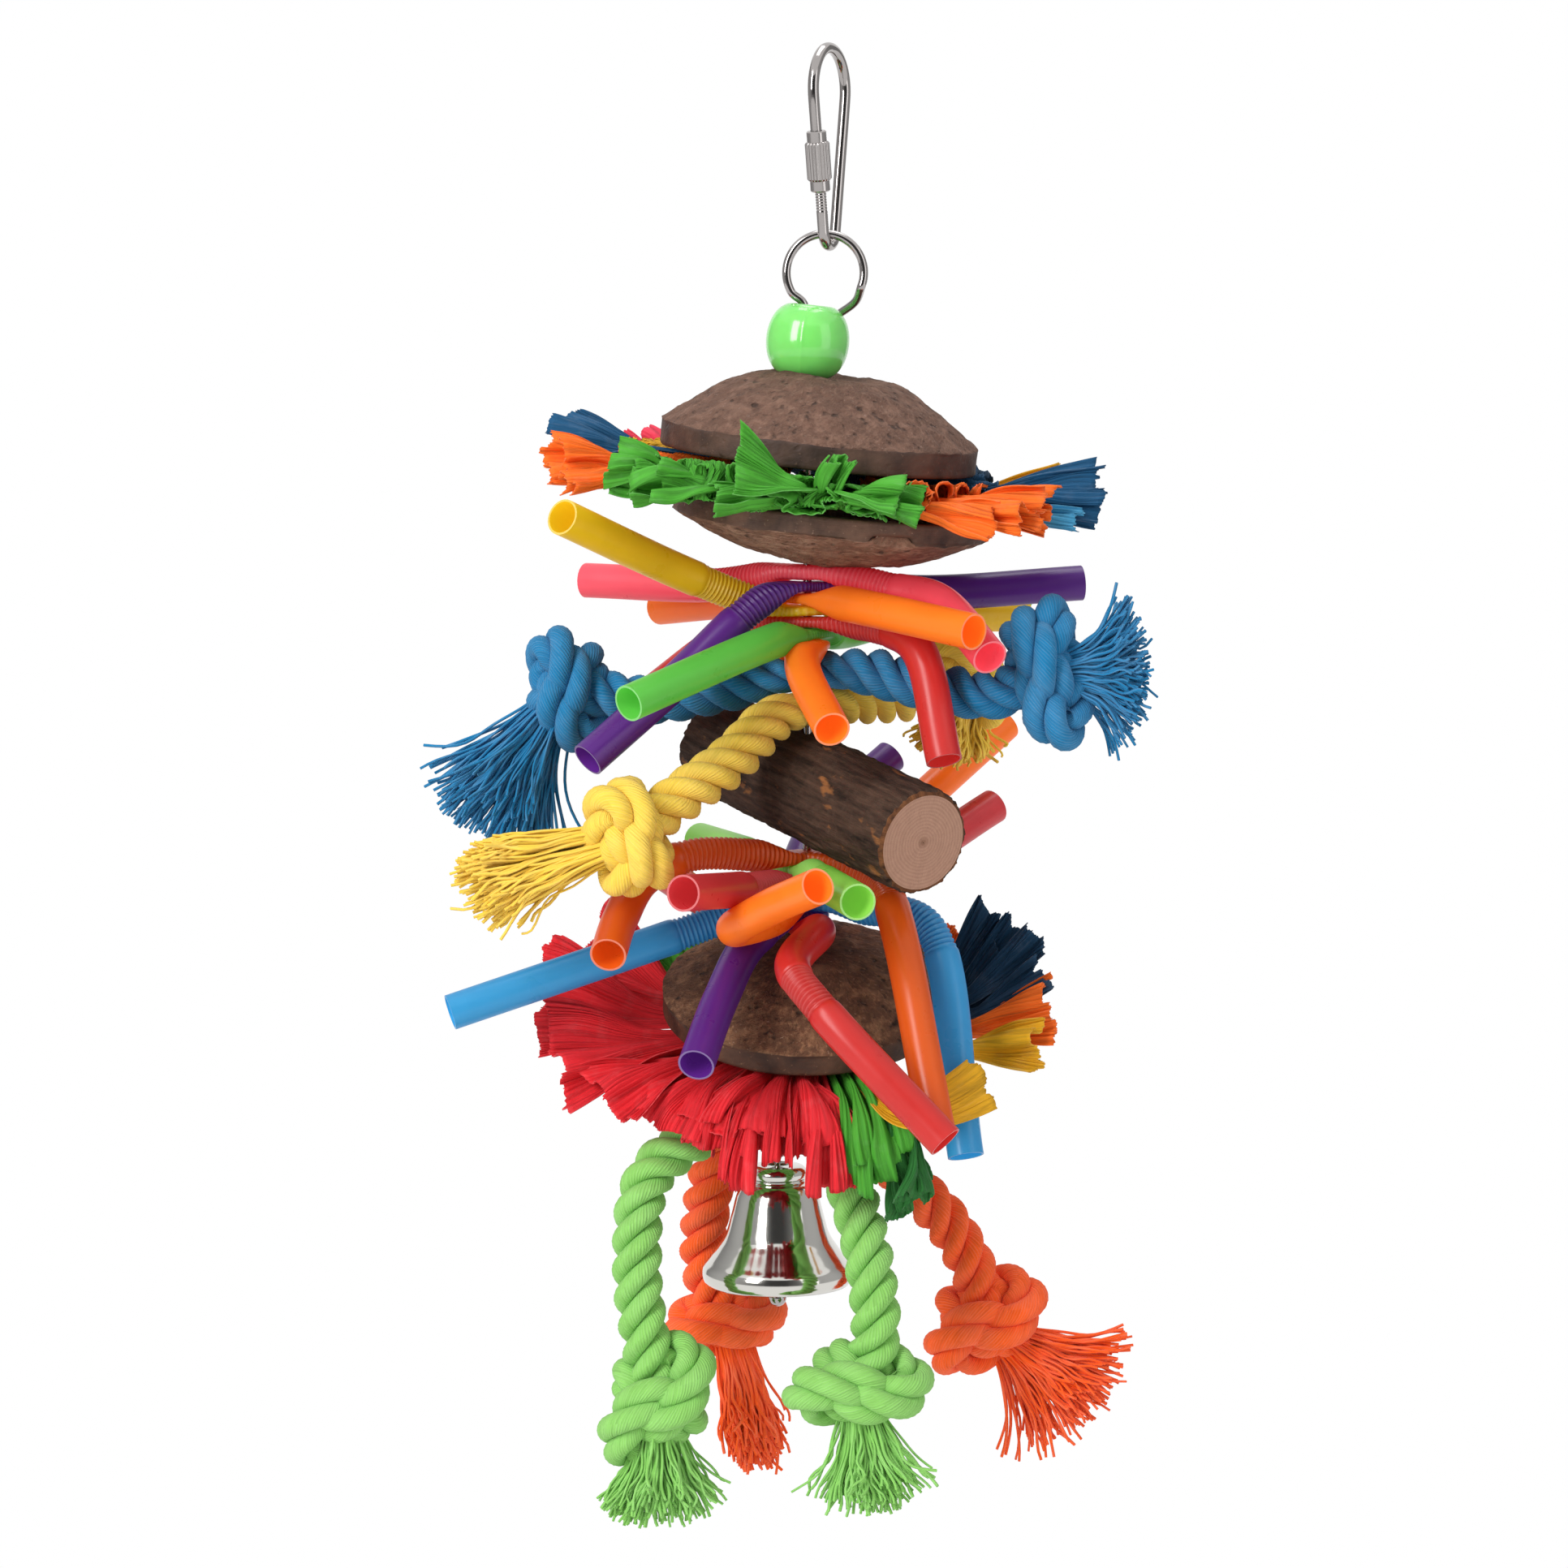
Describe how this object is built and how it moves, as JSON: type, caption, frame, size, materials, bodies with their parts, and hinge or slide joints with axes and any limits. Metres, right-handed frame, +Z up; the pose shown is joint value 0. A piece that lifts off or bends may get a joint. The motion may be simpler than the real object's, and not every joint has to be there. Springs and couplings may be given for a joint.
{
  "type": "hanging bird toy",
  "caption": "Hanging bird toy of coconut caps, crinkled paper, drinking straws, knotted rope and a bark log on a wire, with a link above and a bell below.",
  "frame": {"origin": "inside of the link's top bow, where the toy hangs", "axes": "+Z up, -Y towards the side that the picture shows, +X to its right"},
  "size_m": [0.1406, 0.1101, 0.2901],
  "materials": {
    "nickel": "satin",
    "bell_chrome": "polished",
    "bead_plastic": "gloss",
    "coconut": "matte",
    "bark": "matte",
    "paper_blue": "matte",
    "paper_orange": "matte",
    "paper_green": "matte",
    "paper_yellow": "matte",
    "paper_red": "matte",
    "paper_navy": "matte",
    "straw_pink": "satin",
    "straw_purple": "satin",
    "straw_orange": "satin",
    "straw_yellow": "satin",
    "straw_red": "satin",
    "straw_green": "satin",
    "straw_redorange": "satin",
    "straw_lightgreen": "satin",
    "straw_blue": "satin",
    "rope_blue": "matte",
    "rope_yellow": "matte",
    "rope_orange": "matte",
    "rope_green": "matte"
  },
  "bodies": {
    "link": {"quick_link": "nickel"},
    "sleeve": {"link_sleeve": "nickel"},
    "stem": {"stem_wire": "nickel"},
    "bead": {"top_bead": "bead_plastic"},
    "shell_pair": {"upper_cap": "coconut", "under_cap": "coconut", "paper_blue_left": "paper_blue", "paper_orange_left": "paper_orange", "paper_green_left": "paper_green", "paper_green_front": "paper_green", "paper_orange_right": "paper_orange", "paper_blue_right": "paper_blue", "paper_yellow_back": "paper_yellow"},
    "upper_straws": {"straw_pink_upper": "straw_pink", "straw_purple_upper": "straw_purple", "straw_orange_upper": "straw_orange", "straw_yellow_upper": "straw_yellow", "straw_red_upper": "straw_red", "straw_green_upper": "straw_green", "straw_orange_front": "straw_orange"},
    "blue_rope": {"rope_blue": "rope_blue", "knot_blue_left": "rope_blue", "knot_blue_right": "rope_blue", "tassel_blue_left": "rope_blue", "tassel_blue_right": "rope_blue"},
    "yellow_rope": {"rope_yellow": "rope_yellow", "knot_yellow_left": "rope_yellow", "knot_yellow_right": "rope_yellow", "tassel_yellow_left": "rope_yellow", "tassel_yellow_right": "rope_yellow"},
    "log": {"bark_log": "bark"},
    "lower_straws": {"straw_redorange_lower": "straw_redorange", "straw_lightgreen_lower": "straw_lightgreen", "straw_pink_lower": "straw_pink", "straw_orange_lower": "straw_orange", "straw_blue_lower": "straw_blue", "straw_purple_lower": "straw_purple", "straw_red_lower": "straw_red"},
    "lower_shell": {"lower_cap": "coconut", "paper_red_left": "paper_red", "paper_red_front": "paper_red", "paper_green_low": "paper_green", "paper_yellow_low": "paper_yellow", "paper_orange_low": "paper_orange", "paper_navy_right": "paper_navy", "paper_green_back": "paper_green"},
    "orange_rope": {"rope_orange": "rope_orange", "knot_orange_left": "rope_orange", "knot_orange_right": "rope_orange", "tassel_orange_left": "rope_orange", "tassel_orange_right": "rope_orange"},
    "green_rope": {"rope_green": "rope_green", "knot_green_left": "rope_green", "knot_green_right": "rope_green", "tassel_green_left": "rope_green", "tassel_green_right": "rope_green"},
    "bell": {"bell_dome": "bell_chrome", "bell_hanger": "nickel"},
    "clapper": {"bell_clapper": "nickel"}
  },
  "joints": [
    {"name": "sleeve_slide", "type": "slide", "parent": "link", "child": "sleeve", "axis": [-0.0738, -0.1739, 0.982], "range_m": [0, 0.0062]},
    {"name": "eye_swing", "type": "hinge", "parent": "link", "child": "stem", "pos_m": [0, 0, -0.037], "axis": [0.3907, 0.9205, 0], "range_deg": [-35, 35]},
    {"name": "bead_spin", "type": "hinge", "parent": "stem", "child": "bead", "pos_m": [-0.0042, 0, -0.0554], "axis": [0, 0, 1], "continuous": true},
    {"name": "shell_pair_turn", "type": "hinge", "parent": "stem", "child": "shell_pair", "pos_m": [-0.0042, 0, -0.13], "axis": [0, 0, 1], "range_deg": [-12, 12]},
    {"name": "upper_straws_turn", "type": "hinge", "parent": "stem", "child": "upper_straws", "pos_m": [-0.0042, 0, -0.13], "axis": [0, 0, 1], "range_deg": [-7, 3]},
    {"name": "blue_rope_turn", "type": "hinge", "parent": "stem", "child": "blue_rope", "pos_m": [-0.0042, 0, -0.13], "axis": [0, 0, 1], "range_deg": [-3, 6]},
    {"name": "yellow_rope_turn", "type": "hinge", "parent": "stem", "child": "yellow_rope", "pos_m": [-0.0042, 0, -0.13], "axis": [0, 0, 1], "range_deg": [-4, 3]},
    {"name": "log_turn", "type": "hinge", "parent": "stem", "child": "log", "pos_m": [-0.0042, 0, -0.13], "axis": [0, 0, 1], "range_deg": [-4, 10]},
    {"name": "lower_straws_turn", "type": "hinge", "parent": "stem", "child": "lower_straws", "pos_m": [-0.0042, 0, -0.13], "axis": [0, 0, 1], "range_deg": [-3, 4]},
    {"name": "lower_shell_turn", "type": "hinge", "parent": "stem", "child": "lower_shell", "pos_m": [-0.0042, 0, -0.13], "axis": [0, 0, 1], "range_deg": [-8, 6]},
    {"name": "orange_rope_turn", "type": "hinge", "parent": "stem", "child": "orange_rope", "pos_m": [-0.0101, 0, -0.2101], "axis": [0.259, 0, 0.9659], "range_deg": [-8, 8]},
    {"name": "green_rope_turn", "type": "hinge", "parent": "stem", "child": "green_rope", "pos_m": [-0.0101, 0, -0.2101], "axis": [0.259, 0, 0.9659], "range_deg": [-3, 8]},
    {"name": "bell_swing", "type": "hinge", "parent": "stem", "child": "bell", "pos_m": [-0.0101, 0, -0.2162], "axis": [1, 0, 0], "range_deg": [-22, 11]},
    {"name": "clapper_swing", "type": "hinge", "parent": "bell", "child": "clapper", "pos_m": [-0.0101, 0, -0.22285], "axis": [0, 1, 0], "range_deg": [-28, 28]}
  ]
}
